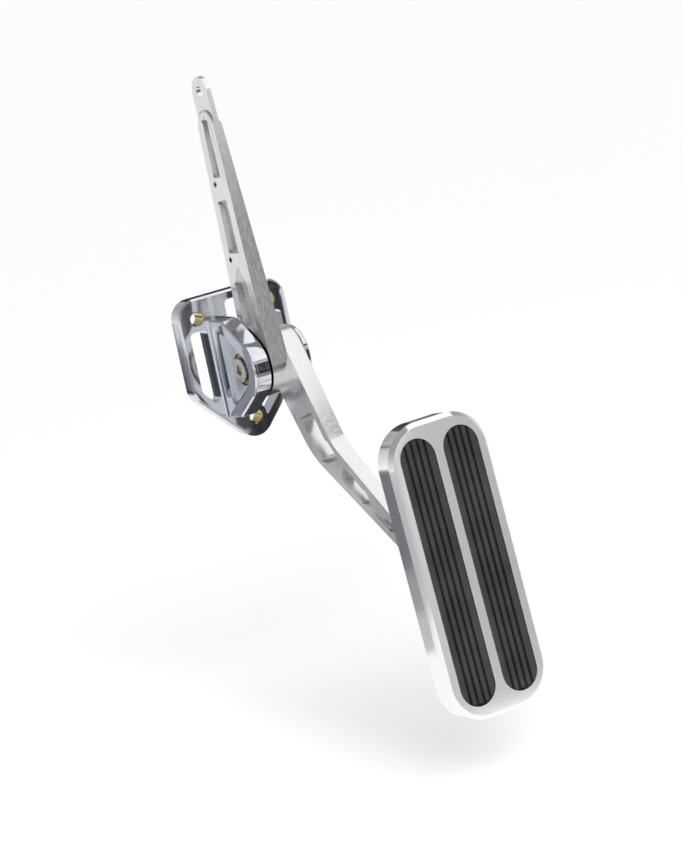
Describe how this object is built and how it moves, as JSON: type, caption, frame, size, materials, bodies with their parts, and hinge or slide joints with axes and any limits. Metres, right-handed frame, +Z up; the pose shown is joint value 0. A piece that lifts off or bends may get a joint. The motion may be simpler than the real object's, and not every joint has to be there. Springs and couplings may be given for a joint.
{
  "type": "accelerator pedal",
  "caption": "Accelerator pedal with a firewall bracket, a pivoting two-piece lever, a cable hole and a metal pad with ribbed rubber inserts.",
  "frame": {"origin": "firewall face of the bracket, midway between the two upper mounting holes", "axes": "+X to the driver's right along the pivot, +Y into the firewall, +Z up"},
  "size_m": [0.067, 0.1756, 0.3052],
  "materials": {
    "bracket_metal": "mirror polished",
    "bronze": "machined",
    "lever_metal": "fine brushed",
    "pad_metal": "satin",
    "rubber": "matt",
    "steel": "machined"
  },
  "bodies": {
    "bracket": {"firewall_bracket": "bracket_metal", "bushing_left": "bronze", "bushing_right": "bronze"},
    "pedal": {"end_cap": "bracket_metal", "upper_lever": "lever_metal", "lower_lever": "lever_metal", "pad_foot": "lever_metal", "pad_plate": "pad_metal", "rubber_insert_left": "rubber", "rubber_insert_right": "rubber", "pivot_bolt": "steel", "hub_screw_front": "steel", "hub_screw_rear": "steel", "hub_dowel_upper": "steel", "hub_dowel_lower": "steel", "cap_washer": "steel", "cap_screw": "steel", "foot_screw_inner": "steel", "foot_screw_outer": "steel", "pad_screw_upper_left": "steel", "pad_screw_upper_right": "steel", "pad_screw_lower_left": "steel", "pad_screw_lower_right": "steel"}
  },
  "joints": [
    {"name": "pedal_pivot", "type": "hinge", "parent": "bracket", "child": "pedal", "pos_m": [0, -0.0305, -0.0266], "axis": [1, 0, 0], "range_deg": [0, 22], "stiffness_Nm_per_rad": 8, "springref_deg": -14.32}
  ]
}
